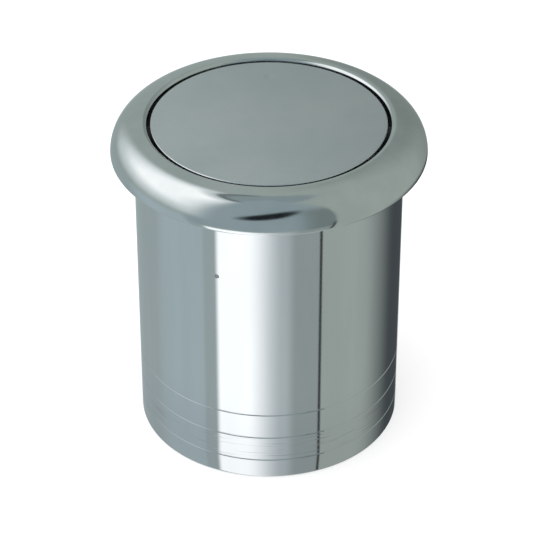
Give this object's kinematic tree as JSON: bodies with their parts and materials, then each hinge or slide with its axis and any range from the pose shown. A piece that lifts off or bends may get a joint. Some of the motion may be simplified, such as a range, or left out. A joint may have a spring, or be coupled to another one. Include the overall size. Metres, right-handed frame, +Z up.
{
  "type": "desk grommet",
  "caption": "Round metal desk grommet with a deep sleeve, a bull-nosed rim and a flush satin lid that tips on sprung pivots to let cables through",
  "frame": {"origin": "on the sleeve's axis, in the plane of the rim's underside, which is the desk top", "axes": "+Z up along the sleeve's axis, +Y to the back edge of the lid, where it is pressed down, +X to the right along the pivot"},
  "size_m": [0.0698, 0.0698, 0.0763],
  "materials": {
    "polished_chrome": "bright nickel-chrome plating over a turned and polished surface",
    "polished_steel": "mirror-polished stainless tube with fine turned lines",
    "satin_steel": "satin, finely bead-blasted stainless sheet",
    "gasket_rubber": "matt black, moulded",
    "stop_rubber": "matt dark grey, moulded",
    "cradle_nylon": "black glass-filled nylon with a fine moulded grain",
    "carrier_nylon": "charcoal moulded nylon",
    "dowel_steel": "plain ground steel",
    "pin_steel": "ground and polished steel",
    "bush_brass": "turned brass",
    "washer_nylon": "natural white nylon",
    "spring_steel": "drawn spring wire, lightly oiled",
    "zinc_fixings": "bright zinc plate",
    "stud_steel": "copper-flashed steel weld studs"
  },
  "bodies": {
    "housing": {"rim_ring": "polished_chrome", "sleeve_tube": "polished_steel", "desk_gasket": "gasket_rubber", "sleeve_dowels": "dowel_steel", "lid_cradle": "cradle_nylon", "closed_stop_pads": "stop_rubber", "open_stop_bumpers": "stop_rubber", "left_bush": "bush_brass", "right_bush": "bush_brass"},
    "lid": {"lid_plate": "satin_steel", "lid_carrier": "carrier_nylon", "lid_studs": "stud_steel", "stud_washers": "zinc_fixings", "stud_nuts": "zinc_fixings", "left_pivot_pin": "pin_steel", "right_pivot_pin": "pin_steel", "left_thrust_washer": "washer_nylon", "right_thrust_washer": "washer_nylon", "left_return_spring": "spring_steel", "right_return_spring": "spring_steel"}
  },
  "joints": [
    {"name": "lid_tilt", "type": "hinge", "parent": "housing", "child": "lid", "pos_m": [0, 0, 0.0024], "axis": [-1, 0, 0], "range_deg": [0, 80], "stiffness_Nm_per_rad": 0.03, "springref_deg": -34.38, "deforming": ["left_return_spring", "right_return_spring"]}
  ]
}
